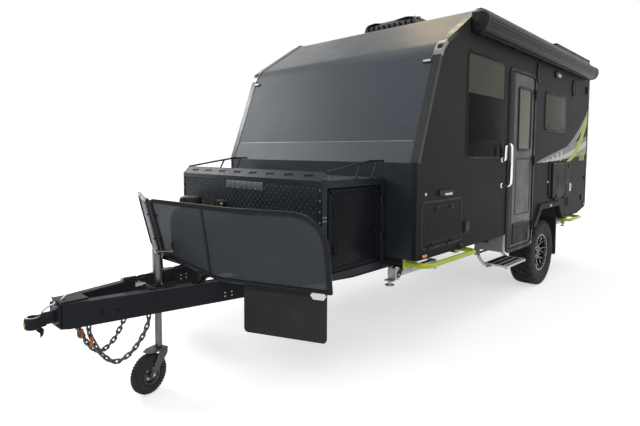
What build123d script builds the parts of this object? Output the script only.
# A single-axle hybrid caravan: hard-walled body with a raked front, A-frame drawbar, toolbox and stone guard.
# Millimetres. +X is the trailer's left, where the door is, the front faces -Y and +Z is up.
# The origin is on the floor and the centreline, half way between the coupling and the spare wheel.
import math
import os

from build123d import *

os.makedirs("parts", exist_ok=True)

# Body shell
body_width = 2250
body_length = 4380
wall = 40
floor_z = 760
bend_z = 1481
seam_z = 1645
slope_run = 318
slope_top_z = 2380
chamfer_run = 966
roof_z = 2797
rear_cut_run = 360
rear_cut_rise = 70
front_y = -1258
moulding_face = 62
moulding_side = 30
moulding_thick = 4

# Side windows, as outer sizes of their frames, and the places of their middles
big_window_length = 785
big_window_height = 910
big_window_back = 1137
big_window_z = 1965
small_window_length = 775
small_window_height = 450
small_window_back = 3007
small_window_z = 2037
window_corner = 70
window_frame_width = 28
window_frame_depth = 14
pane_thick = 6

# Doorway, door and step well
door_back = 1640
door_width = 650
door_sill_z = 604
door_top_z = 2360
door_frame_width = 40
door_frame_depth = 10
door_gap = 8
door_thick = 40
door_proud = 2
well_depth = 305
well_sheet = 8

# Front storage hatches
hatch_back = 75
hatch_length = 600
hatch_z = 842
hatch_height = 336
hatch_corner = 40

# Hinges
barrel_radius = 7
pin_radius = 3
running_gap = 0.3
pin_clearance = 0.1

# Picnic table
table_back = 2900
table_length = 630
table_z = 1035
table_height = 414
table_thick = 30

# Wheels and suspension
tyre_radius = 389
tyre_width = 265
rim_radius = 203
rim_width = 220
wheel_outer_x = 1075
axle_back = 2870
axle_radius = 20
arch_bottom_length = 910
arch_top_length = 600
arch_top_z = 932
arch_middle_back = 2870
arch_flare = 60
arch_flare_depth = 25
wheel_box_depth = 300
sheet = 6
arm_x = 670
arm_thick = 60
arm_length = 470
arm_pivot_z = 520
spring_radius = 50
spring_inner_radius = 36
damper_radius = 22

# Chassis and drawbar
rail_width = 50
rail_depth = 76
rail_x = 506
drawbar_depth = 150
drawbar_length = 2000
drawbar_nose_half = 94
outrigger_half = 1000
side_bar_x = 1185
side_bar_radius = 20
side_bar_bend = 70
coupling_tip = 2204
coupling_z = 590
hitch_pin_bore = 12.5

# Toolbox on the drawbar
toolbox_half = 852
toolbox_depth = 692
toolbox_gap = 20
toolbox_top_z = 1365
toolbox_wall = 20
toolbox_door_margin = 50

# Stone guard: two wings, swept back and leaning forward, drawn from the foot of the middle post
guard_foot_ahead = 1388
guard_foot_z = 868
guard_sweep = 22.6
guard_lean = 13.1
guard_tube = 15
guard_mesh = 3

# Safety chains and jockey wheel, placed from the drawbar's nose
chain_front_from_nose = 105
chain_rear_from_nose = 440
chain_radius = 9
jockey_from_nose = 535
jockey_inset = 65.9
jockey_top_z = 885
jockey_low_z = 510
jockey_travel = 80
swivel_pin_length = 30
jockey_tube_radius = 26
jockey_leg_radius = 22
jockey_wheel_radius = 128
jockey_wheel_width = 68
jockey_trail = 84

# Entry step
step_pivot_x = 820
step_pivot_z = 524
step_shaft = 10
step_reach = 120
step_drop = 114
step_tread_z = 432

# Stabiliser legs
leg_x = 930
leg_tube = 40
leg_length = 540
leg_pivot_z = 632

# Awning, roof and rear
awning_back = 770
awning_length = 3430
awning_depth = 148
awning_low_z = 2548
awning_high_z = 2716
rack_back = 2990
rack_height = 44
vent_back = 1150
vent_length = 650
vent_half = 370
vent_height = 148
spare_z = 1250
spare_back = 4720
bumper_half = 900
bumper_depth = 50
bumper_height = 100
lamp_inner_x = 900
lamp_width = 160
lamp_low_z = 880
lamp_height = 200
lamp_proud = 40

half = body_width / 2
inner_half = half - wall
rear_y = front_y + body_length
chassis_low_z = floor_z - rail_depth
drawbar_low_z = chassis_low_z - drawbar_depth
axle_y = front_y + axle_back


def back(distance):
    """The Y of a station so far behind the front wall's face."""
    return front_y + distance


def block(x, y, z, mode=Mode.ADD):
    """A square-cornered block between the two values given along each axis."""
    with Locations(((x[0] + x[1]) / 2, (y[0] + y[1]) / 2, (z[0] + z[1]) / 2)):
        Box(abs(x[1] - x[0]), abs(y[1] - y[0]), abs(z[1] - z[0]), mode=mode)


def bar(start, end, radius, mode=Mode.ADD):
    """A round bar from one point to another."""
    run = Vector(*end) - Vector(*start)
    with Locations(Plane(origin=start, z_dir=run)):
        Cylinder(radius, run.length, align=(Align.CENTER, Align.CENTER, Align.MIN), mode=mode)


def slab(plane, points, thickness, mode=Mode.ADD):
    """A flat plate: an outline on a plane, given a thickness along the plane's normal."""
    with BuildSketch(plane) as outline:
        with BuildLine():
            Polyline(*points, close=True)
        make_face()
    extrude(outline.sketch, amount=thickness, mode=mode)


def rounded_slab(plane, middle, size, radius, thickness, mode=Mode.ADD):
    """A flat plate with four round corners, drawn about its middle on a plane."""
    with BuildSketch(plane) as outline:
        with Locations(middle):
            RectangleRounded(size[0], size[1], radius)
    extrude(outline.sketch, amount=thickness, mode=mode)


def tube_along(points, bend, radius):
    """A round tube whose middle line runs through the points, with equal bends at the corners."""
    with BuildLine() as path:
        FilletPolyline(*points, radius=bend)
    with BuildSketch(Plane(origin=path.line @ 0, z_dir=path.line % 0)) as section:
        Circle(radius)
    sweep(section.sketch, path=path.line)


# The body's outline seen from the side, as (Y, Z)
body_outline = (
    (back(0), floor_z),
    (back(0), bend_z),
    (back(slope_run), slope_top_z),
    (back(chamfer_run), roof_z),
    (rear_y, roof_z),
    (rear_y, floor_z + rear_cut_rise),
    (rear_y - rear_cut_run, floor_z),
)
slope = Vector(slope_run, slope_top_z - bend_z).normalized()
slope_inward = Vector(slope.Y, -slope.X)
chamfer = Vector(chamfer_run - slope_run, roof_z - slope_top_z).normalized()
chamfer_inward = Vector(chamfer.Y, -chamfer.X)
seam = Vector(back(0), bend_z) + slope * ((seam_z - bend_z) / slope.Y)
shoulder = Vector(back(slope_run), slope_top_z)
shoulder_inward = (slope_inward + chamfer_inward).normalized()
past = 4 * wall

with BuildSketch(Plane.YZ) as shell_ring:
    with BuildLine():
        Polyline(*body_outline, close=True)
    make_face()
    offset(amount=-wall, kind=Kind.INTERSECTION, mode=Mode.SUBTRACT)


def shell_panel(region):
    """The stretch of the body's shell in a region of the side view, across between the side walls."""
    with BuildSketch(Plane.YZ) as band:
        add(shell_ring.sketch_local)
        with BuildLine():
            Polyline(*region, close=True)
        make_face(mode=Mode.INTERSECT)
    extrude(band.sketch, amount=inner_half, both=True)


def yz(vector):
    """A side-view vector as a plain pair."""
    return (vector.X, vector.Y)


# Front wall: one sandwich panel, folded at the bend and joined to the next panel at the seam
with BuildPart() as front_wall:
    shell_panel((
        (back(-wall), floor_z - wall),
        (back(wall), floor_z - wall),
        (back(wall), floor_z + past),
        (back(slope_run), floor_z + past),
        yz(seam + slope_inward * past),
        yz(seam - slope_inward * wall),
        (back(-wall), bend_z),
    ))
front_wall.part.label = "front_wall"
export_step(front_wall.part, "parts/front_wall.step")

# Slope panel: from the seam up to the shoulder, mitred there
with BuildPart() as slope_panel:
    shell_panel((
        yz(seam - slope_inward * wall),
        yz(seam + slope_inward * past),
        yz(shoulder + shoulder_inward * past),
        yz(shoulder - shoulder_inward * wall),
    ))
slope_panel.part.label = "slope_panel"
export_step(slope_panel.part, "parts/slope_panel.step")

# Roof: one panel over the chamfer and the flat top, lying on the rear wall
with BuildPart() as roof_panel:
    shell_panel((
        yz(shoulder - shoulder_inward * wall),
        yz(shoulder + shoulder_inward * past),
        (back(chamfer_run), roof_z - past),
        (rear_y - past, roof_z - past),
        (rear_y - past, roof_z - wall),
        (rear_y + wall, roof_z - wall),
        (rear_y + wall, roof_z + wall),
        (back(chamfer_run) - wall, roof_z + wall),
    ))
roof_panel.part.label = "roof_panel"
export_step(roof_panel.part, "parts/roof_panel.step")

# Rear wall, down to the cut lower corner
with BuildPart() as rear_wall:
    shell_panel((
        (rear_y - wall, floor_z - wall),
        (rear_y + wall, floor_z - wall),
        (rear_y + wall, roof_z - wall),
        (rear_y - wall, roof_z - wall),
    ))
rear_wall.part.label = "rear_wall"
export_step(rear_wall.part, "parts/rear_wall.step")

# Wheel arch outlines, as (Y, Z): the opening in the side walls and the wheel box's outside
arch_y = back(arch_middle_back)


def arch(grow):
    """The wheel arch's four corners, made larger all round, and open at the body's lower edge."""
    rise = arch_top_z - floor_z
    run = (arch_bottom_length - arch_top_length) / 2
    lean = math.hypot(rise, run)
    foot = arch_bottom_length / 2 + grow * lean / rise
    top = foot - run * (rise + grow) / rise
    return (
        (arch_y - foot, floor_z),
        (arch_y - top, arch_top_z + grow),
        (arch_y + top, arch_top_z + grow),
        (arch_y + foot, floor_z),
    )


# Floor: one panel, kinked up at the rear, cut for the wheel boxes and the step well
well_inner_x = half - well_depth
well_front = door_back - door_frame_width
well_rear = door_back + door_width + door_frame_width
box_inner_x = inner_half - wheel_box_depth
with BuildPart() as floor_panel:
    shell_panel((
        (back(wall), floor_z - wall),
        (rear_y - wall, floor_z - wall),
        (rear_y - wall, floor_z + past),
        (back(wall), floor_z + past),
    ))
    slab(Plane.YZ.offset(box_inner_x - sheet), arch(sheet), wheel_box_depth + wall, mode=Mode.SUBTRACT)
    slab(Plane.YZ.offset(-inner_half - wall), arch(sheet), wheel_box_depth + wall + sheet, mode=Mode.SUBTRACT)
    block(
        (well_inner_x + well_sheet, half),
        (back(well_front + well_sheet), back(well_rear - well_sheet)),
        (floor_z - wall, floor_z + 2 * wall),
        mode=Mode.SUBTRACT,
    )
floor_panel.part.label = "floor_panel"
export_step(floor_panel.part, "parts/floor_panel.step")


def side_wall(plane, doorway):
    """A side wall with its windows, front hatch and wheel arch cut out, and a doorway if it has one."""
    inset = 2 * window_frame_width
    pane_corner = window_corner - window_frame_width
    with BuildSketch(plane) as face:
        with BuildLine():
            Polyline(*body_outline, close=True)
        make_face()
        with Locations((back(big_window_back), big_window_z)):
            RectangleRounded(
                big_window_length - inset, big_window_height - inset, pane_corner, mode=Mode.SUBTRACT
            )
        with Locations((back(small_window_back), small_window_z)):
            RectangleRounded(
                small_window_length - inset, small_window_height - inset, pane_corner, mode=Mode.SUBTRACT
            )
        with Locations((back(hatch_back + hatch_length / 2), hatch_z + hatch_height / 2)):
            RectangleRounded(hatch_length, hatch_height, hatch_corner, mode=Mode.SUBTRACT)
        with BuildLine():
            Polyline(*arch(0), close=True)
        make_face(mode=Mode.SUBTRACT)
        if doorway:
            with Locations((back(door_back + door_width / 2), (door_sill_z + door_top_z) / 2)):
                Rectangle(door_width, door_top_z - door_sill_z, mode=Mode.SUBTRACT)
    extrude(face.sketch, amount=wall)


# Left wall, with the doorway cut down through its lower edge
with BuildPart() as left_wall:
    side_wall(Plane.YZ.offset(inner_half), doorway=True)
left_wall.part.label = "left_wall"
export_step(left_wall.part, "parts/left_wall.step")

# Right wall, the same without a doorway
with BuildPart() as right_wall:
    side_wall(Plane.YZ.offset(-half), doorway=False)
right_wall.part.label = "right_wall"
export_step(right_wall.part, "parts/right_wall.step")

# Edge mouldings: an L-shaped extrusion along each front, roof and rear edge, lapped over both panels
def moulding_leg(plane, inward, width):
    """One leg of the moulding: a band along the outline from the bend, over the roof, to the rear cut."""
    with BuildSketch(plane) as band:
        with BuildLine():
            Polyline(*body_outline, close=True)
        make_face()
        offset(amount=moulding_thick, kind=Kind.INTERSECTION)
        with BuildSketch(mode=Mode.SUBTRACT):
            with BuildLine():
                Polyline(*body_outline, close=True)
            make_face()
            if inward:
                offset(amount=-inward, kind=Kind.INTERSECTION)
        with Locations((back(body_length / 2), floor_z)):
            Rectangle(2 * body_length, 2 * (rear_cut_rise + moulding_thick), mode=Mode.SUBTRACT)
        with Locations((back(0), floor_z)):
            Rectangle(4 * moulding_side, 2 * (bend_z - floor_z), mode=Mode.SUBTRACT)
    extrude(band.sketch, amount=width)


with BuildPart() as edge_mouldings:
    moulding_leg(Plane.YZ.offset(half - moulding_face), 0, moulding_face)
    moulding_leg(Plane.YZ.offset(half), moulding_side, moulding_thick)
    mirror(about=Plane.YZ)
edge_mouldings.part.label = "edge_mouldings"
export_step(edge_mouldings.part, "parts/edge_mouldings.step")

# Wheel boxes: folded sheet over each wheel, open to the wheel below and at the side
with BuildPart() as wheel_boxes:
    slab(Plane.YZ.offset(box_inner_x - sheet), arch(sheet), wheel_box_depth + sheet)
    slab(Plane.YZ.offset(box_inner_x), arch(0), wheel_box_depth, mode=Mode.SUBTRACT)
    mirror(about=Plane.YZ)
wheel_boxes.part.label = "wheel_boxes"
export_step(wheel_boxes.part, "parts/wheel_boxes.step")

# Arch flares: a moulded surround on the outside of each wheel arch
with BuildPart() as arch_flares:
    slab(Plane.YZ.offset(half), arch(arch_flare), arch_flare_depth)
    slab(Plane.YZ.offset(half), arch(0), arch_flare_depth, mode=Mode.SUBTRACT)
    mirror(about=Plane.YZ)
arch_flares.part.label = "arch_flares"
export_step(arch_flares.part, "parts/arch_flares.step")

# Window frames: rounded rings on the walls' outside, two a side
windows = (
    ((back(big_window_back), big_window_z), (big_window_length, big_window_height)),
    ((back(small_window_back), small_window_z), (small_window_length, small_window_height)),
)
with BuildPart() as window_frames:
    for middle, size in windows:
        pane_size = (size[0] - 2 * window_frame_width, size[1] - 2 * window_frame_width)
        pane_corner = window_corner - window_frame_width
        rounded_slab(Plane.YZ.offset(half), middle, size, window_corner, window_frame_depth)
        rounded_slab(
            Plane.YZ.offset(half), middle, pane_size, pane_corner, window_frame_depth, mode=Mode.SUBTRACT
        )
    mirror(about=Plane.YZ)
window_frames.part.label = "window_frames"
export_step(window_frames.part, "parts/window_frames.step")

# Window panes: tinted sheets that fill the frames
with BuildPart() as window_panes:
    for middle, size in windows:
        pane_size = (size[0] - 2 * window_frame_width, size[1] - 2 * window_frame_width)
        pane_corner = window_corner - window_frame_width
        rounded_slab(Plane.YZ.offset(half), middle, pane_size, pane_corner, pane_thick)
    mirror(about=Plane.YZ)
window_panes.part.label = "window_panes"
export_step(window_panes.part, "parts/window_panes.step")

# Door frame: a flat surround on the wall, with the fixed halves of the hinges
door_front_y = back(door_back)
door_rear_y = back(door_back + door_width)
door_axis = (half + door_frame_depth + barrel_radius + running_gap, door_rear_y)
leaf_face = half + door_proud
door_hinges = (door_sill_z + 180, (door_sill_z + door_top_z) / 2, door_top_z - 180)
knuckle = 50
with BuildPart() as door_frame:
    block(
        (half, half + door_frame_depth),
        (door_front_y - door_frame_width, door_rear_y + door_frame_width),
        (door_sill_z - door_frame_width / 2, door_top_z + door_frame_width),
    )
    block(
        (half, half + door_frame_depth),
        (door_front_y, door_rear_y),
        (door_sill_z, door_top_z),
        mode=Mode.SUBTRACT,
    )
    for z in door_hinges:
        block(
            (half + door_frame_depth, door_axis[0]),
            (door_rear_y, door_rear_y + 3 * barrel_radius),
            (z - knuckle, z),
        )
        bar((*door_axis, z - knuckle), (*door_axis, z), barrel_radius)
        bar((*door_axis, z), (*door_axis, z + knuckle), pin_radius)
door_frame.part.label = "door_frame"
export_step(door_frame.part, "parts/door_frame.step")

# Entry door: a flat leaf in the doorway, hinged along its rear edge
leaf_rear_y = door_rear_y - door_gap
with BuildPart() as entry_door:
    block(
        (leaf_face - door_thick, leaf_face),
        (door_front_y + door_gap, leaf_rear_y),
        (door_sill_z + door_gap, door_top_z - door_gap),
    )
    for z in door_hinges:
        low = z + running_gap
        block(
            (leaf_face, door_axis[0]),
            (leaf_rear_y - 3 * barrel_radius, leaf_rear_y + 2 * barrel_radius - door_gap),
            (low, z + knuckle),
        )
        bar((*door_axis, low), (*door_axis, z + knuckle), barrel_radius)
        bar((*door_axis, z), (*door_axis, z + 2 * knuckle), pin_radius + pin_clearance, mode=Mode.SUBTRACT)
entry_door.part.label = "entry_door"
export_step(entry_door.part, "parts/entry_door.step")

# Step well: a sheet tray let down below the floor inside the doorway, with the step's two brackets under it
well_low_z = door_sill_z - door_frame_width / 2
step_front = back(door_back + 50)
step_rear = back(door_back + 540)
arm_gap = 8
step_brackets = (step_front - arm_gap - 3 * well_sheet, step_rear + 2 * arm_gap + well_sheet)
with BuildPart() as step_well:
    block(
        (well_inner_x, half),
        (back(well_front), back(well_rear)),
        (well_low_z, floor_z),
    )
    block(
        (well_inner_x + well_sheet, half),
        (back(well_front + well_sheet), back(well_rear - well_sheet)),
        (well_low_z + well_sheet, floor_z),
        mode=Mode.SUBTRACT,
    )
    for y in step_brackets:
        block((step_pivot_x - 30, step_pivot_x + 30), (y, y + well_sheet), (step_pivot_z - 20, well_low_z))
        bar(
            (step_pivot_x, y, step_pivot_z),
            (step_pivot_x, y + well_sheet, step_pivot_z),
            step_shaft + pin_clearance,
            mode=Mode.SUBTRACT,
        )
step_well.part.label = "step_well"
export_step(step_well.part, "parts/step_well.step")

# Wall hinges: the fixed halves of the hatches' hinges and of the picnic table's
hatch_axis = (half + barrel_radius + running_gap, hatch_z)
hatch_hinges = (back(hatch_back + 0.22 * hatch_length), back(hatch_back + 0.7 * hatch_length))
table_face = half + table_thick
table_axis_x = table_face + barrel_radius + running_gap
table_hinges = (back(table_back + 0.2 * table_length), back(table_back + 0.75 * table_length))
with BuildPart() as wall_hinges:
    for side in (-1, 1):
        x = side * hatch_axis[0]
        for y in hatch_hinges:
            block((side * half, x), (y - knuckle, y), (hatch_z - 3 * barrel_radius, hatch_z))
            bar((x, y - knuckle, hatch_z), (x, y, hatch_z), barrel_radius)
            bar((x, y, hatch_z), (x, y + knuckle, hatch_z), pin_radius)
    for y in table_hinges:
        block(
            (half, table_axis_x),
            (y - knuckle, y),
            (table_z - 3 * barrel_radius, table_z - barrel_radius / 2),
        )
        bar((table_axis_x, y - knuckle, table_z), (table_axis_x, y, table_z), barrel_radius)
        bar((table_axis_x, y, table_z), (table_axis_x, y + knuckle, table_z), pin_radius)
wall_hinges.part.label = "wall_hinges"
export_step(wall_hinges.part, "parts/wall_hinges.step")

# Front hatches: one each side, flush in the wall and hinged along the lower edge
for side in ("left", "right"):
    with BuildPart() as front_hatch:
        rounded_slab(
            Plane.YZ.offset(leaf_face - door_thick),
            (back(hatch_back + hatch_length / 2), hatch_z + hatch_height / 2),
            (hatch_length - 2 * door_gap, hatch_height - 2 * door_gap),
            hatch_corner - door_gap,
            door_thick,
        )
        for y in hatch_hinges:
            low = y + running_gap
            block(
                (leaf_face, hatch_axis[0]),
                (low, y + knuckle),
                (hatch_z + 2 * barrel_radius - door_gap, hatch_z + 4 * barrel_radius),
            )
            bar((hatch_axis[0], low, hatch_z), (hatch_axis[0], y + knuckle, hatch_z), barrel_radius)
            bar(
                (hatch_axis[0], y, hatch_z),
                (hatch_axis[0], y + 2 * knuckle, hatch_z),
                pin_radius + pin_clearance,
                mode=Mode.SUBTRACT,
            )
        if side == "right":
            mirror(about=Plane.YZ, mode=Mode.REPLACE)
    front_hatch.part.label = f"front_hatch_{side}"
    export_step(front_hatch.part, f"parts/front_hatch_{side}.step")

# Bed base: the roof of the storage tunnel between the hatches, and the tunnel's rear partition
board = 18
tunnel_rear = hatch_back + hatch_length + wall
tunnel_top_z = hatch_z + hatch_height + wall
with BuildPart() as bed_base:
    block(
        (-inner_half, inner_half),
        (back(wall), back(big_window_back + big_window_length / 2)),
        (tunnel_top_z, tunnel_top_z + board),
    )
    block(
        (-inner_half, inner_half),
        (back(tunnel_rear), back(tunnel_rear + board)),
        (floor_z + wall, tunnel_top_z),
    )
bed_base.part.label = "bed_base"
export_step(bed_base.part, "parts/bed_base.step")

# Picnic table: a panel folded up against the left wall
with BuildPart() as picnic_table:
    block(
        (half + 1, table_face),
        (back(table_back), back(table_back + table_length)),
        (table_z, table_z + table_height),
    )
    for y in table_hinges:
        low = y + running_gap
        block((table_face, table_axis_x), (low, y + knuckle), (table_z, table_z + 4 * barrel_radius))
        bar((table_axis_x, low, table_z), (table_axis_x, y + knuckle, table_z), barrel_radius)
        bar(
            (table_axis_x, y, table_z),
            (table_axis_x, y + 2 * knuckle, table_z),
            pin_radius + pin_clearance,
            mode=Mode.SUBTRACT,
        )
picnic_table.part.label = "picnic_table"
export_step(picnic_table.part, "parts/picnic_table.step")

# Grab handle: a bent tube on the wall ahead of the door, from under the big window's corner
handle_y = back(big_window_back + big_window_length / 2 - 40)
handle_radius = 12
handle_low_z = 1250
handle_root_z = big_window_z - big_window_height / 2 - handle_radius - 3
handle_clear_x = half + window_frame_depth + handle_radius + 2
with BuildPart() as grab_handle:
    tube_along(
        (
            (half, handle_y, handle_root_z),
            (handle_clear_x, handle_y, handle_root_z),
            (handle_clear_x + 8, handle_y, handle_root_z + 110),
            (half + 72, handle_y, handle_root_z + 145),
            (half + 98, handle_y, handle_root_z + 60),
            (half + 84, handle_y, handle_low_z + 30),
            (half + 50, handle_y, handle_low_z),
            (half, handle_y, handle_low_z),
        ),
        13,
        handle_radius,
    )
grab_handle.part.label = "grab_handle"
export_step(grab_handle.part, "parts/grab_handle.step")

# Chassis: two rails under the floor, stepped down at the tail to carry the bumper
front_outrigger = 60
bar_outrigger = 860
middle_outrigger = 1500
rear_bar_outrigger = 3480
rear_outrigger = 3980
with BuildPart() as chassis_frame:
    block(
        (rail_x - rail_width / 2, rail_x + rail_width / 2),
        (back(wall), back(rear_outrigger)),
        (chassis_low_z, floor_z),
    )
    block(
        (rail_x - rail_width / 2, rail_x + rail_width / 2),
        (back(rear_outrigger), rear_y + 5),
        (chassis_low_z, floor_z - sheet),
    )
    mirror(about=Plane.YZ)
chassis_frame.part.label = "chassis_frame"
export_step(chassis_frame.part, "parts/chassis_frame.step")

# Cross members: beams between the rails with outriggers outside them, and the plates and pins under them
# that carry the trailing arms and the stabiliser legs
cross_stations = (front_outrigger, bar_outrigger, middle_outrigger, rear_bar_outrigger, rear_outrigger)
pivot_back = axle_back - math.sqrt(arm_length ** 2 - (arm_pivot_z - tyre_radius) ** 2)
spring_back = axle_back - 190
damper_back = spring_back + 100
leg_pivots = (front_outrigger - 40, rear_outrigger + 40)
pivot_plate = 8
pivot_pin = 10
arm_plates = (arm_x - arm_thick / 2 - sheet - pivot_plate, arm_x + arm_thick / 2 + sheet)
leg_plates = (leg_x - leg_tube / 2 - door_gap - pivot_plate, leg_x + leg_tube / 2 + door_gap)
carrier_half = arm_x + arm_thick / 2 + 30
with BuildPart() as cross_members:
    for station in cross_stations:
        block(
            (0, outrigger_half),
            (back(station - rail_width / 2), back(station + rail_width / 2)),
            (chassis_low_z, floor_z),
        )
    for front, rear in ((pivot_back - 40, pivot_back + 40), (spring_back - 60, damper_back + 30)):
        block((0, carrier_half), (back(front), back(rear)), (chassis_low_z, floor_z))
    for x in arm_plates:
        block(
            (x, x + pivot_plate),
            (back(pivot_back - 45), back(pivot_back + 45)),
            (arm_pivot_z - 40, chassis_low_z),
        )
    bar(
        (arm_plates[0], back(pivot_back), arm_pivot_z),
        (arm_plates[1] + pivot_plate, back(pivot_back), arm_pivot_z),
        pivot_pin,
    )
    for station, toward in ((leg_pivots[0], 1), (leg_pivots[1], -1)):
        for x in leg_plates:
            slab(
                Plane.YZ.offset(x),
                (
                    (back(station - toward * 20), leg_pivot_z - 20),
                    (back(station + toward * 20), leg_pivot_z - 20),
                    (back(station + toward * 65), chassis_low_z),
                    (back(station + toward * 15), chassis_low_z),
                    (back(station - toward * 20), leg_pivot_z + 20),
                ),
                pivot_plate,
            )
        bar(
            (leg_plates[0], back(station), leg_pivot_z),
            (leg_plates[1] + pivot_plate, back(station), leg_pivot_z),
            pivot_pin,
        )
    mirror(about=Plane.YZ)
    add(chassis_frame.part, mode=Mode.SUBTRACT)
cross_members.part.label = "cross_members"
export_step(cross_members.part, "parts/cross_members.step")

# Drawbar: an A-frame of deep rails that runs back under the chassis rails
rail_outer = rail_x + rail_width / 2
rail_lean = (rail_outer - drawbar_nose_half) / drawbar_length
tie_ahead = 690
drawbar_rear = pivot_back - 60


def rail_edge(ahead):
    """The X of the drawbar rail's outer face, so far ahead of the front wall."""
    return rail_outer - rail_lean * max(ahead, 0)


bottle_places = (-20, -420)
bottle_radius = 155
bottle_y = back(-905)
tray_lip = 40
tray_x = (bottle_places[1] - bottle_radius - 2 * sheet, bottle_places[0] + bottle_radius + 2 * sheet)
tray_y = (bottle_y - bottle_radius - 2 * sheet, bottle_y + bottle_radius + 2 * sheet)
with BuildPart() as drawbar_frame:
    slab(
        Plane.XY.offset(drawbar_low_z),
        (
            (drawbar_nose_half, back(-drawbar_length)),
            (rail_outer, back(0)),
            (rail_outer, back(drawbar_rear)),
            (rail_outer - rail_width, back(drawbar_rear)),
            (rail_outer - rail_width, back(0)),
            (drawbar_nose_half - rail_width, back(-drawbar_length)),
        ),
        drawbar_depth,
    )
    slab(
        Plane.XY.offset(drawbar_low_z),
        (
            (0, back(-drawbar_length - 40)),
            (drawbar_nose_half - 30, back(-drawbar_length - 40)),
            (drawbar_nose_half, back(-drawbar_length)),
            (rail_edge(drawbar_length - 110), back(-drawbar_length + 110)),
            (0, back(-drawbar_length + 110)),
        ),
        drawbar_depth,
    )
    for ahead, length in ((tie_ahead, rail_edge(tie_ahead)), (-20, rail_edge(0))):
        block(
            (0, length - rail_width / 2),
            (back(-ahead - 25), back(-ahead + 25)),
            (drawbar_low_z + 40, chassis_low_z - 20),
        )
    mirror(about=Plane.YZ)
    block(tray_x, tray_y, (chassis_low_z, chassis_low_z + tray_lip))
    block(
        (tray_x[0] + sheet, tray_x[1] - sheet),
        (tray_y[0] + sheet, tray_y[1] - sheet),
        (chassis_low_z + sheet, chassis_low_z + tray_lip),
        mode=Mode.SUBTRACT,
    )
    block(
        (-drawbar_nose_half + 20, drawbar_nose_half - 20),
        (back(-drawbar_length - 40), back(-drawbar_length + 110)),
        (chassis_low_z, chassis_low_z + 8),
    )
drawbar_frame.part.label = "drawbar_frame"
export_step(drawbar_frame.part, "parts/drawbar_frame.step")

# Coupling: a short articulated off-road head with a cross-drilled pin hole
nose_y = back(-drawbar_length - 40)
tip_y = back(-coupling_tip)
with BuildPart() as coupling:
    block((-45, 45), (nose_y - 12, nose_y), (coupling_z - 45, coupling_z + 75))
    bar((0, nose_y - 12, coupling_z), (0, tip_y + 60, coupling_z), 34)
    block((-38, 38), (tip_y, tip_y + 76), (coupling_z - 30, coupling_z + 30))
    pin_y = tip_y + 40
    bar((0, pin_y, coupling_z - 40), (0, pin_y, coupling_z + 40), hitch_pin_bore, mode=Mode.SUBTRACT)
coupling.part.label = "coupling"
export_step(coupling.part, "parts/coupling.step")

# Safety chains: one under each rail's nose, hung in a loop and shackled back on itself
chain_rear = drawbar_length - chain_rear_from_nose
chain_front = drawbar_length - chain_front_from_nose
chain_rear_x = rail_edge(chain_rear) - 35
chain_front_x = rail_edge(chain_front) - 32
chain_bend = 30


def on_chain(share, height):
    """A point of the left chain, a share of the way from its rear end to its front end."""
    x = chain_rear_x + share * (chain_front_x - chain_rear_x)
    return (x, back(-chain_rear - share * (chain_front - chain_rear)), height)


with BuildPart() as safety_chains:
    tube_along(
        (
            on_chain(0, drawbar_low_z),
            on_chain(0, drawbar_low_z - 50),
            on_chain(0.09, 390),
            on_chain(0.31, 280),
            on_chain(0.58, 252),
            on_chain(0.81, 330),
            on_chain(0.955, 440),
            on_chain(1, drawbar_low_z - 50),
            on_chain(1, drawbar_low_z),
        ),
        chain_bend,
        chain_radius,
    )
    mirror(about=Plane.YZ)
safety_chains.part.label = "safety_chains"
export_step(safety_chains.part, "parts/safety_chains.step")

# Toolbox: a sheet box across the drawbar, open at both ends behind its doors
toolbox_front = back(-toolbox_gap - toolbox_depth)
toolbox_rear = back(-toolbox_gap)
box_door_y = (toolbox_front + toolbox_door_margin, toolbox_rear - toolbox_door_margin)
box_door_z = (chassis_low_z + toolbox_door_margin, toolbox_top_z - toolbox_door_margin)
box_axis_x = toolbox_half + barrel_radius + running_gap
toolbox_height = toolbox_top_z - chassis_low_z
box_hinges = (chassis_low_z + 0.4 * toolbox_height, chassis_low_z + 0.8 * toolbox_height)
with BuildPart() as toolbox:
    block((-toolbox_half, toolbox_half), (toolbox_front, toolbox_rear), (chassis_low_z, toolbox_top_z))
    block(
        (-toolbox_half + toolbox_wall, toolbox_half - toolbox_wall),
        (toolbox_front + toolbox_wall, toolbox_rear - toolbox_wall),
        (chassis_low_z + toolbox_wall, toolbox_top_z - toolbox_wall),
        mode=Mode.SUBTRACT,
    )
    block((-2 * toolbox_half, 2 * toolbox_half), box_door_y, box_door_z, mode=Mode.SUBTRACT)
    for side in (-1, 1):
        for z in box_hinges:
            axis = (side * box_axis_x, box_door_y[1])
            block(
                (side * toolbox_half, axis[0]),
                (axis[1], axis[1] + 3 * barrel_radius),
                (z - knuckle, z),
            )
            bar((*axis, z - knuckle), (*axis, z), barrel_radius)
            bar((*axis, z), (*axis, z + knuckle), pin_radius)
toolbox.part.label = "toolbox"
export_step(toolbox.part, "parts/toolbox.step")

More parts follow.
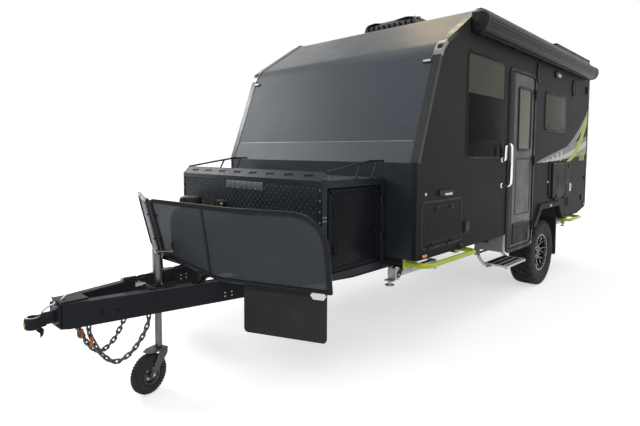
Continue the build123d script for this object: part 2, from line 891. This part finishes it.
for side in ("left", "right"):
    with BuildPart() as toolbox_door:
        block(
            (toolbox_half - toolbox_wall, toolbox_half + door_proud),
            (box_door_y[0] + door_gap, box_door_y[1] - door_gap),
            (box_door_z[0] + door_gap, box_door_z[1] - door_gap),
        )
        for z in box_hinges:
            axis = (box_axis_x, box_door_y[1])
            low = z + running_gap
            block(
                (toolbox_half + door_proud, box_axis_x),
                (axis[1] - door_gap - 2 * barrel_radius, axis[1] - barrel_radius + 2),
                (low, z + knuckle),
            )
            bar((*axis, low), (*axis, z + knuckle), barrel_radius)
            bar((*axis, z), (*axis, z + 2 * knuckle), pin_radius + pin_clearance, mode=Mode.SUBTRACT)
        if side == "right":
            mirror(about=Plane.YZ, mode=Mode.REPLACE)
    toolbox_door.part.label = f"toolbox_door_{side}"
    export_step(toolbox_door.part, f"parts/toolbox_door_{side}.step")

# Tray rails round the toolbox's top: a slotted lip in front, and a rail on raked posts at each side
lip_sheet = 5
lip_lean = 55
lip_height = 58
rail_radius = 8
rail_rear_z = toolbox_top_z + 128
lip_top_y = toolbox_front + lip_lean
rail_end_x = toolbox_half - 2 * rail_radius
rail_bend = (rail_end_x, toolbox_rear - 160, rail_rear_z)
rail_start = (rail_end_x, lip_top_y + rail_radius, toolbox_top_z + lip_height)
with BuildPart() as tray_rails:
    slab(
        Plane.YZ.offset(-toolbox_half),
        (
            (toolbox_front, toolbox_top_z),
            (toolbox_front + lip_sheet, toolbox_top_z),
            (lip_top_y + lip_sheet, toolbox_top_z + lip_height),
            (lip_top_y, toolbox_top_z + lip_height),
        ),
        2 * toolbox_half,
    )
    lip_face = Plane(
        origin=(0, toolbox_front + lip_lean / 2, toolbox_top_z + lip_height / 2),
        x_dir=(1, 0, 0),
        z_dir=(0, -lip_height, lip_lean),
    )
    with BuildSketch(lip_face) as slots:
        with GridLocations(200, 1, 8, 1):
            SlotOverall(90, 22)
    extrude(slots.sketch, amount=4 * lip_sheet, both=True, mode=Mode.SUBTRACT)
    for side in (-1, 1):
        bend = (side * rail_bend[0], rail_bend[1], rail_bend[2])
        start = (side * rail_start[0], rail_start[1], rail_start[2])
        end = (side * rail_end_x, toolbox_rear - rail_radius, rail_rear_z)
        bar(start, bend, rail_radius)
        bar(bend, end, rail_radius)
        with Locations(bend):
            Sphere(rail_radius)
        for foot, top in ((0.48, 0.58), (0.78, 0.88)):
            run = toolbox_depth - lip_lean
            rise = rail_rear_z - toolbox_top_z - lip_height
            foot_y = lip_top_y + foot * run
            top_y = lip_top_y + top * run
            share = min(1, (top_y - start[1]) / (bend[1] - start[1]))
            bar((start[0], foot_y, toolbox_top_z), (start[0], top_y, start[2] + share * rise), rail_radius)
    block(
        (-toolbox_half, toolbox_half),
        (toolbox_front, toolbox_rear),
        (toolbox_top_z - 4 * rail_radius, toolbox_top_z),
        mode=Mode.SUBTRACT,
    )
tray_rails.part.label = "tray_rails"
export_step(tray_rails.part, "parts/tray_rails.step")

# Entry step: two arms on a shaft under the step well, and the tread they carry
step_x = step_pivot_x + step_reach
step_z = step_pivot_z - step_drop
arm_places = (step_front - arm_gap - well_sheet, step_rear + arm_gap)
with BuildPart() as step_arms:
    bar(
        (step_pivot_x, step_brackets[0], step_pivot_z),
        (step_pivot_x, step_brackets[1] + well_sheet, step_pivot_z),
        step_shaft,
    )
    for y in arm_places:
        slab(
            Plane.XZ.offset(-y - well_sheet),
            (
                (step_pivot_x - 18, step_pivot_z + 18),
                (step_pivot_x + 18, step_pivot_z + 18),
                (step_x + 18, step_z + 10),
                (step_x + 10, step_z - 16),
                (step_x - 18, step_z - 16),
                (step_pivot_x - 18, step_pivot_z - 14),
            ),
            well_sheet,
        )
    bar((step_x, arm_places[0], step_z), (step_x, arm_places[1] + well_sheet, step_z), step_shaft / 2)
step_arms.part.label = "step_arms"
export_step(step_arms.part, "parts/step_arms.step")

tread_thick = 12
tread_nose = 15
tread_nose_x = half - tread_nose
nose_z = step_tread_z - tread_nose
with BuildPart() as step_tread:
    block((step_x - 55, tread_nose_x), (step_front, step_rear), (step_tread_z - tread_thick, step_tread_z))
    bar((tread_nose_x, step_front, nose_z), (tread_nose_x, step_rear, nose_z), tread_nose)
    for y in (step_front, step_rear - well_sheet):
        block((step_x - 20, step_x + 20), (y, y + well_sheet), (step_z - 16, step_tread_z - tread_thick))
    bar(
        (step_x, step_front, step_z),
        (step_x, step_rear, step_z),
        step_shaft / 2 + pin_clearance,
        mode=Mode.SUBTRACT,
    )
step_tread.part.label = "step_tread"
export_step(step_tread.part, "parts/step_tread.step")

# Awning cassette: a long rounded case along the top of the left wall, on a rail under the moulding
awning_inner = half + moulding_thick + 1
with BuildPart() as awning_cassette:
    rounded_slab(
        Plane.XZ.offset(-back(awning_back + awning_length)),
        (awning_inner + awning_depth / 2, (awning_low_z + awning_high_z) / 2),
        (awning_depth, awning_high_z - awning_low_z),
        50,
        awning_length,
    )
    block(
        (half, half + 40),
        (back(awning_back), back(awning_back + awning_length)),
        (awning_low_z + 10, awning_low_z + 60),
    )
awning_cassette.part.label = "awning_cassette"
export_step(awning_cassette.part, "parts/awning_cassette.step")

# Roof rack: two slotted side plates on the roof's edges, with cross bars between them
rack_low_z = roof_z + moulding_thick
rack_x = half - 15
rack_plate = 5
rack_bar = 24
hole_pitch = 130
hole_radius = 9
hole_z = rack_low_z + rack_height / 2
rack_middle = (rack_back + body_length) / 2
rack_bars = (back(rack_back) + rack_bar / 2, back(rack_middle), rear_y - rack_bar / 2)
with BuildPart() as roof_rack:
    for side in (-1, 1):
        block(
            (side * rack_x, side * (rack_x + rack_plate)),
            (back(rack_back), rear_y),
            (rack_low_z, rack_low_z + rack_height),
        )
    for y in rack_bars:
        block(
            (-rack_x, rack_x),
            (y - rack_bar / 2, y + rack_bar / 2),
            (rack_low_z + rack_height - rack_bar, rack_low_z + rack_height),
        )
    for place in range(1, 6):
        y = rear_y - place * hole_pitch + hole_pitch / 3
        bar((-half, y, hole_z), (half, y, hole_z), hole_radius, mode=Mode.SUBTRACT)
roof_rack.part.label = "roof_rack"
export_step(roof_rack.part, "parts/roof_rack.step")

# Solar panels: two thin framed panels on the roof, between the rack's bars
solar_half = half - 115
solar_thick = 35
solar_gap = 20
with BuildPart() as solar_panels:
    for front_bar, rear_bar in zip(rack_bars[:-1], rack_bars[1:]):
        block(
            (-solar_half, solar_half),
            (front_bar + rack_bar / 2 + solar_gap, rear_bar - rack_bar / 2 - solar_gap),
            (roof_z, roof_z + solar_thick),
        )
solar_panels.part.label = "solar_panels"
export_step(solar_panels.part, "parts/solar_panels.step")

# Roof vent: a rounded cover over the roof's flat front part
with BuildPart() as roof_vent:
    with BuildSketch(Plane.XY.offset(roof_z)) as vent_foot:
        with Locations((0, back(vent_back + vent_length / 2))):
            RectangleRounded(2 * vent_half, vent_length, 80)
    extrude(vent_foot.sketch, amount=vent_height, taper=12)
roof_vent.part.label = "roof_vent"
export_step(roof_vent.part, "parts/roof_vent.step")

# Gas bottles: two upright cylinders in the drawbar's tray, each with a shroud round its valve
bottle_floor = chassis_low_z + sheet
bottle_shoulder = bottle_floor + 415
with BuildPart() as gas_bottles:
    for x in bottle_places:
        with BuildSketch(Plane.XZ.offset(-bottle_y)) as bottle_side:
            with BuildLine():
                Polyline(
                    (x, bottle_floor),
                    (x + bottle_radius - 45, bottle_floor),
                    (x + bottle_radius - 13, bottle_floor + 13),
                    (x + bottle_radius, bottle_floor + 45),
                    (x + bottle_radius, bottle_shoulder - 60),
                    (x + bottle_radius - 18, bottle_shoulder - 18),
                    (x + bottle_radius - 60, bottle_shoulder),
                    (x + 90, bottle_shoulder + 8),
                    (x + 90, bottle_shoulder + 95),
                    (x, bottle_shoulder + 95),
                    close=True,
                )
            make_face()
        revolve(bottle_side.sketch, axis=Axis((x, bottle_y, 0), (0, 0, 1)))
gas_bottles.part.label = "gas_bottles"
export_step(gas_bottles.part, "parts/gas_bottles.step")

# Stone guard: a tube frame of two swept wings that meet at a middle post, and the sheet mesh in it
sweep_angle = math.radians(guard_sweep)
lean_angle = math.radians(guard_lean)
guard_along = Vector(math.cos(sweep_angle), math.sin(sweep_angle), 0)
guard_ahead = Vector(
    math.sin(sweep_angle) * math.cos(lean_angle),
    -math.cos(sweep_angle) * math.cos(lean_angle),
    -math.sin(lean_angle),
)
guard_foot = (0, back(-guard_foot_ahead), guard_foot_z)
guard_plane = Plane(origin=guard_foot, x_dir=guard_along, z_dir=guard_ahead)
guard_width = 1204
guard_height = 336
guard_low = -156
guard_knee = (434, -147)
guard_peak_height = 375
guard_peak = (-guard_peak_height * guard_plane.y_dir.X / guard_along.X, guard_peak_height)
guard_brow = (574, 338)


def on_guard(place, rise=0.0):
    """A place in the left wing's plane, as a point in space."""
    return tuple(guard_plane.from_local_coords(Vector(place[0], place[1], rise)))


guard_joints = [guard_peak, guard_brow, guard_knee, (0, 0)]
with BuildPart() as stone_guard_frame:
    bar(on_guard((0, 0)), on_guard(guard_peak), guard_tube)
    bar(on_guard(guard_peak), on_guard(guard_brow), guard_tube)
    tube_along(
        (
            on_guard(guard_brow),
            on_guard((guard_width, guard_height)),
            on_guard((guard_width, guard_low)),
        ),
        180,
        guard_tube,
    )
    bar(on_guard((guard_width, guard_low)), on_guard(guard_knee), guard_tube)
    bar(on_guard(guard_knee), on_guard((0, 0)), guard_tube)
    for place in guard_joints + [(guard_width, guard_low)]:
        with Locations(on_guard(place)):
            Sphere(guard_tube)
    post_top = on_guard((0.66 * guard_knee[0], 0.66 * guard_knee[1]))
    post_ahead = front_y - post_top[1]
    bar((rail_edge(post_ahead) - rail_width / 2, post_top[1], chassis_low_z), post_top, guard_tube)
    block(
        (0, drawbar_nose_half * 4),
        (back(-2 * drawbar_length), back(0)),
        (drawbar_low_z, chassis_low_z),
        mode=Mode.SUBTRACT,
    )
    mirror(about=Plane.YZ)
stone_guard_frame.part.label = "stone_guard_frame"
export_step(stone_guard_frame.part, "parts/stone_guard_frame.step")

with BuildPart() as stone_guard_mesh:
    slab(
        guard_plane.offset(-guard_mesh / 2),
        (
            (0, 0),
            guard_peak,
            guard_brow,
            (guard_width - 180, guard_height),
            (guard_width - 53, guard_height - 53),
            (guard_width, guard_height - 180),
            (guard_width, guard_low),
            guard_knee,
        ),
        guard_mesh,
    )
    mirror(about=Plane.YZ)
    add(stone_guard_frame.part, mode=Mode.SUBTRACT)
stone_guard_mesh.part.label = "stone_guard_mesh"
export_step(stone_guard_mesh.part, "parts/stone_guard_mesh.step")

# Mud flaps: two hung from the stone guard's wings and two behind the wheels
flap_thick = 8
flap_inner = 588
flap_outer = 22
flap_low_z = 400
flap_back = arch_middle_back + arch_bottom_length / 2 + 15
flap_tube_z = on_guard((guard_width, guard_low))[2]
flap_origin = on_guard((0, guard_low))
flap_plane = Plane(
    origin=(flap_origin[0], flap_origin[1], 0),
    x_dir=guard_along,
    z_dir=(math.sin(sweep_angle), -math.cos(sweep_angle), 0),
)
with BuildPart() as mud_flaps:
    slab(
        flap_plane.offset(-flap_thick / 2),
        (
            (guard_width - flap_inner, flap_low_z),
            (guard_width - flap_outer, flap_low_z),
            (guard_width - flap_outer, flap_tube_z - 5),
            (guard_width - flap_inner, flap_tube_z - 5),
        ),
        flap_thick,
    )
    block((box_inner_x + 45, wheel_outer_x), (back(flap_back), back(flap_back + flap_thick)), (290, floor_z))
    mirror(about=Plane.YZ)
    add(stone_guard_frame.part, mode=Mode.SUBTRACT)
mud_flaps.part.label = "mud_flaps"
export_step(mud_flaps.part, "parts/mud_flaps.step")

# Side bars: bent tubes under the body's sides, from one outrigger's end to the next
bar_z = (chassis_low_z + floor_z) / 2
with BuildPart() as side_bars:
    for start, end in ((front_outrigger, bar_outrigger), (rear_bar_outrigger, rear_outrigger)):
        tube_along(
            (
                (outrigger_half, back(start), bar_z),
                (side_bar_x, back(start), bar_z),
                (side_bar_x, back(end), bar_z),
                (outrigger_half, back(end), bar_z),
            ),
            side_bar_bend,
            side_bar_radius,
        )
    mirror(about=Plane.YZ)
side_bars.part.label = "side_bars"
export_step(side_bars.part, "parts/side_bars.step")

# Jockey wheel: a tube clamped to a drawbar rail, the leg that slides in it, and a trailing fork and wheel
jockey_ahead = drawbar_length - jockey_from_nose
jockey_x = rail_edge(jockey_ahead) - rail_width - jockey_inset
jockey_y = back(-jockey_ahead)
jockey_bore = jockey_leg_radius + running_gap
jockey_wall_z = jockey_top_z - 8
jockey_crown_z = 2 * jockey_wheel_radius + 18
fork_plate = 8
fork_gap = 6
fork_pin = 8
clamp_ahead = (jockey_ahead + 30, jockey_ahead - 30)
crank_z = jockey_top_z + 25
crank_length = 98
crank_rise = 56
crank_half = 12
crank_plane = Plane(
    origin=(jockey_x, jockey_y, crank_z - 7),
    x_dir=(0.734, 0.679, 0),
    z_dir=(0, 0, 1),
)
with BuildPart() as jockey_tube:
    slab(
        Plane.XY.offset(chassis_low_z - 70),
        (
            (jockey_x, back(-clamp_ahead[0])),
            (rail_edge(clamp_ahead[0]) - rail_width, back(-clamp_ahead[0])),
            (rail_edge(clamp_ahead[1]) - rail_width, back(-clamp_ahead[1])),
            (jockey_x, back(-clamp_ahead[1])),
        ),
        60,
    )
    bar((jockey_x, jockey_y, jockey_low_z), (jockey_x, jockey_y, jockey_top_z), jockey_tube_radius)
    bar(
        (jockey_x, jockey_y, jockey_low_z),
        (jockey_x, jockey_y, jockey_wall_z),
        jockey_bore,
        mode=Mode.SUBTRACT,
    )
    bar((jockey_x, jockey_y, jockey_top_z), (jockey_x, jockey_y, crank_z), 9)
    slab(
        crank_plane,
        (
            (-crank_half, -crank_half),
            (crank_length + crank_half, -crank_half),
            (crank_length + crank_half, crank_half),
            (-crank_half, crank_half),
        ),
        8,
    )
    bar(
        tuple(crank_plane.from_local_coords(Vector(crank_length, 0, 8))),
        tuple(crank_plane.from_local_coords(Vector(crank_length, 0, 8 + crank_rise))),
        11,
    )
jockey_tube.part.label = "jockey_tube"
export_step(jockey_tube.part, "parts/jockey_tube.step")

with BuildPart() as jockey_leg:
    bar(
        (jockey_x, jockey_y, jockey_crown_z + 1),
        (jockey_x, jockey_y, jockey_wall_z - jockey_travel - door_gap),
        jockey_leg_radius,
    )
    bar(
        (jockey_x, jockey_y, jockey_crown_z + 1),
        (jockey_x, jockey_y, jockey_crown_z + swivel_pin_length + 7),
        fork_pin + pin_clearance,
        mode=Mode.SUBTRACT,
    )
jockey_leg.part.label = "jockey_leg"
export_step(jockey_leg.part, "parts/jockey_leg.step")

trail_dir = Vector(0.26, -0.966, 0).normalized()
trail_plane = Plane(origin=(jockey_x, jockey_y, 0), x_dir=trail_dir, z_dir=(0, 0, 1))
fork_half = jockey_wheel_width / 2 + fork_gap + fork_plate


def by_jockey(along, across, height):
    """A point given along the jockey wheel's trail, across it and above the floor."""
    return tuple(trail_plane.from_local_coords(Vector(along, across, height)))


with BuildPart() as jockey_fork:
    slab(
        trail_plane.offset(jockey_crown_z - 10),
        (
            (-34, -fork_half),
            (jockey_trail + 20, -fork_half),
            (jockey_trail + 20, fork_half),
            (-34, fork_half),
        ),
        10,
    )
    for across in (-fork_half, fork_half - fork_plate):
        side_plane = Plane(
            origin=by_jockey(0, across, 0),
            x_dir=trail_dir,
            z_dir=trail_plane.y_dir,
        )
        slab(
            side_plane,
            (
                (-34, -jockey_crown_z + 10),
                (jockey_trail + 20, -jockey_crown_z + 10),
                (jockey_trail + 22, -jockey_wheel_radius + 22),
                (jockey_trail - 22, -jockey_wheel_radius + 22),
            ),
            fork_plate,
        )
    bar(
        by_jockey(jockey_trail, -fork_half, jockey_wheel_radius),
        by_jockey(jockey_trail, fork_half, jockey_wheel_radius),
        fork_pin,
    )
    bar(by_jockey(0, 0, jockey_crown_z), by_jockey(0, 0, jockey_crown_z + swivel_pin_length), fork_pin)
jockey_fork.part.label = "jockey_fork"
export_step(jockey_fork.part, "parts/jockey_fork.step")

with BuildPart() as jockey_wheel:
    hub = by_jockey(jockey_trail, -jockey_wheel_width / 2, jockey_wheel_radius)
    cap = by_jockey(jockey_trail, jockey_wheel_width / 2, jockey_wheel_radius)
    bar(hub, cap, jockey_wheel_radius)
    fillet(edges().filter_by(GeomType.CIRCLE), 20)
    bar(hub, cap, fork_pin + pin_clearance, mode=Mode.SUBTRACT)
jockey_wheel.part.label = "jockey_wheel"
export_step(jockey_wheel.part, "parts/jockey_wheel.step")

# Trailing arms: box-section arms from their pivots to the stub axles
wheel_x = wheel_outer_x - tyre_width / 2
arm_deep = 80
arm_lean = Vector(axle_back - pivot_back, tyre_radius - arm_pivot_z).normalized()
arm_normal = Vector(-arm_lean.Y, arm_lean.X)
arm_pivot = Vector(back(pivot_back), arm_pivot_z)
arm_end = Vector(axle_y, tyre_radius)
with BuildPart() as trailing_arms:
    slab(
        Plane.YZ.offset(arm_x - arm_thick / 2),
        (
            yz(arm_pivot - arm_normal * arm_deep / 2 - arm_lean * 30),
            yz(arm_end - arm_normal * arm_deep / 2 + arm_lean * 40),
            yz(arm_end + arm_normal * arm_deep / 2 + arm_lean * 40),
            yz(arm_pivot + arm_normal * arm_deep / 2 - arm_lean * 30),
        ),
        arm_thick,
    )
    bar(
        (arm_x - arm_thick, back(pivot_back), arm_pivot_z),
        (arm_x + arm_thick, back(pivot_back), arm_pivot_z),
        pivot_pin,
        mode=Mode.SUBTRACT,
    )
    bar((arm_x, axle_y, tyre_radius), (wheel_x + 40, axle_y, tyre_radius), axle_radius)
    mirror(about=Plane.YZ)
trailing_arms.part.label = "trailing_arms"
export_step(trailing_arms.part, "parts/trailing_arms.step")

# Springs and dampers: one of each a side, standing on the arms under the carrier
spring_foot = (arm_x, back(spring_back), tyre_radius)
spring_top = (arm_x, back(spring_back), chassis_low_z)
with BuildPart() as springs_and_dampers:
    bar(spring_foot, spring_top, spring_radius)
    bar(spring_foot, spring_top, spring_inner_radius, mode=Mode.SUBTRACT)
    bar((arm_x, back(damper_back), tyre_radius), (arm_x, back(damper_back), chassis_low_z), damper_radius)
    slab(
        Plane.YZ.offset(arm_x - 2 * arm_thick),
        (
            yz(arm_pivot - arm_normal * 4 * arm_deep),
            yz(arm_end - arm_normal * 4 * arm_deep + arm_lean * 40),
            yz(arm_end + arm_normal * arm_deep / 2 + arm_lean * 40),
            yz(arm_pivot + arm_normal * arm_deep / 2),
        ),
        4 * arm_thick,
        mode=Mode.SUBTRACT,
    )
    mirror(about=Plane.YZ)
springs_and_dampers.part.label = "springs_and_dampers"
export_step(springs_and_dampers.part, "parts/springs_and_dampers.step")


def turned(middle, axle, outline):
    """A ring turned about a wheel's axle: the outline's points are (along the axle outwards, radius)."""
    upright = Plane(origin=middle, x_dir=axle, z_dir=(axle[1], -axle[0], 0))
    with BuildSketch(upright) as half_section:
        with BuildLine():
            Polyline(*outline, close=True)
        make_face()
    revolve(half_section.sketch, axis=Axis(middle, axle))


# The tyre's and the rim's sections, as (distance from the wheel's middle plane, radius)
tyre_half = tyre_width / 2
rim_half = rim_width / 2
tyre_wall = 14
tyre_section = (
    (-rim_half, rim_radius),
    (-tyre_half, rim_radius + 47),
    (-tyre_half, tyre_radius - 44),
    (-tyre_half + 12, tyre_radius - 12),
    (-tyre_half + 30, tyre_radius),
    (tyre_half - 30, tyre_radius),
    (tyre_half - 12, tyre_radius - 12),
    (tyre_half, tyre_radius - 44),
    (tyre_half, rim_radius + 47),
    (rim_half, rim_radius),
    (rim_half - tyre_wall, rim_radius),
    (tyre_half - tyre_wall, rim_radius + 50),
    (tyre_half - tyre_wall, tyre_radius - 50),
    (-tyre_half + tyre_wall, tyre_radius - 50),
    (-tyre_half + tyre_wall, rim_radius + 50),
    (-rim_half + tyre_wall, rim_radius),
)
rim_wall = 12
face_low = 50
face_high = 80
drum_radius = 135
hub_radius = 75
bore_radius = axle_radius + 0.05
rim_section = (
    (-rim_half, rim_radius),
    (rim_half, rim_radius),
    (rim_half, rim_radius - rim_wall),
    (face_high, rim_radius - rim_wall),
    (face_high, 0),
    (face_low - 2, 0),
    (face_low - 2, bore_radius),
    (-90, bore_radius),
    (-90, drum_radius),
    (-20, drum_radius),
    (-20, hub_radius),
    (face_low, hub_radius),
    (face_low, rim_radius - rim_wall),
    (-rim_half, rim_radius - rim_wall),
)
for side in ("left", "right"):
    with BuildPart() as tyre:
        turned((wheel_x, axle_y, tyre_radius), (1, 0, 0), tyre_section)
        if side == "right":
            mirror(about=Plane.YZ, mode=Mode.REPLACE)
    tyre.part.label = f"tyre_{side}"
    export_step(tyre.part, f"parts/tyre_{side}.step")
    with BuildPart() as rim:
        turned((wheel_x, axle_y, tyre_radius), (1, 0, 0), rim_section)
        face_plane = Plane(origin=(wheel_x + face_low, axle_y, tyre_radius), z_dir=(1, 0, 0))
        with BuildSketch(face_plane) as spoke_gaps:
            with PolarLocations((hub_radius + rim_radius - rim_wall) / 2 + 4, 8):
                Trapezoid(72, 78, 70, rotation=90)
        extrude(spoke_gaps.sketch, amount=2 * (face_high - face_low), mode=Mode.SUBTRACT)
        if side == "right":
            mirror(about=Plane.YZ, mode=Mode.REPLACE)
    rim.part.label = f"rim_{side}"
    export_step(rim.part, f"parts/rim_{side}.step")

# Stabiliser legs: four square tubes folded up under the body, front ones rearwards and rear ones forwards
for end, station, toward in (("front", leg_pivots[0], 1), ("rear", leg_pivots[1], -1)):
    for side in ("left", "right"):
        with BuildPart() as stabiliser_leg:
            tip = back(station + toward * leg_length)
            block(
                (leg_x - leg_tube / 2, leg_x + leg_tube / 2),
                (back(station - toward * 25), tip),
                (leg_pivot_z - leg_tube / 2, leg_pivot_z + leg_tube / 2),
            )
            block((leg_x - 45, leg_x + 45), (tip, tip + toward * sheet), (leg_pivot_z - 50, leg_pivot_z + 35))
            bar(
                (leg_x - leg_tube, back(station), leg_pivot_z),
                (leg_x + leg_tube, back(station), leg_pivot_z),
                pivot_pin + pin_clearance,
                mode=Mode.SUBTRACT,
            )
            if side == "right":
                mirror(about=Plane.YZ, mode=Mode.REPLACE)
        stabiliser_leg.part.label = f"stabiliser_{end}_{side}"
        export_step(stabiliser_leg.part, f"parts/stabiliser_{end}_{side}.step")

# Rear bumper: a cross beam behind the body, with a recovery tab and the spare wheel's post
bumper_front = rear_y + 5
bumper_rear = bumper_front + bumper_depth
spare_y = back(spare_back) - tyre_half
post_top_z = spare_z + 60
post_half = 40
bumper_top_z = chassis_low_z + bumper_height
tab_x = 300
tab_thick = 20
tab_bore = 12
tab_z = chassis_low_z + bumper_height / 2
with BuildPart() as rear_bumper:
    block((-bumper_half, bumper_half), (bumper_front, bumper_rear), (chassis_low_z, bumper_top_z))
    block((-post_half, post_half), (bumper_front, bumper_rear), (bumper_top_z, post_top_z))
    bar((0, bumper_rear, spare_z), (0, spare_y - 90, spare_z), 60)
    block(
        (tab_x - tab_thick / 2, tab_x + tab_thick / 2),
        (bumper_rear, bumper_rear + 60),
        (tab_z - 30, tab_z + 30),
    )
    bar(
        (tab_x - tab_thick, bumper_rear + 32, tab_z),
        (tab_x + tab_thick, bumper_rear + 32, tab_z),
        tab_bore,
        mode=Mode.SUBTRACT,
    )
rear_bumper.part.label = "rear_bumper"
export_step(rear_bumper.part, "parts/rear_bumper.step")

# Spare wheel: on the bumper's post, its face to the rear
with BuildPart() as spare_wheel:
    turned((0, spare_y, spare_z), (0, 1, 0), tyre_section)
    turned((0, spare_y, spare_z), (0, 1, 0), rim_section)
    bar((0, spare_y - 90, spare_z), (0, spare_y, spare_z), axle_radius + 5)
spare_wheel.part.label = "spare_wheel"
export_step(spare_wheel.part, "parts/spare_wheel.step")

# Tail lights: a cluster at each rear corner
with BuildPart() as tail_lights:
    block(
        (lamp_inner_x, lamp_inner_x + lamp_width),
        (rear_y, rear_y + lamp_proud),
        (lamp_low_z, lamp_low_z + lamp_height),
    )
    mirror(about=Plane.YZ)
tail_lights.part.label = "tail_lights"
export_step(tail_lights.part, "parts/tail_lights.step")

# Water tank: slung under the floor between the chassis rails
with BuildPart() as water_tank:
    block(
        (-rail_x + rail_width, rail_x - rail_width),
        (back(bar_outrigger + rail_width), back(middle_outrigger - rail_width)),
        (chassis_low_z - 84, floor_z),
    )
water_tank.part.label = "water_tank"
export_step(water_tank.part, "parts/water_tank.step")
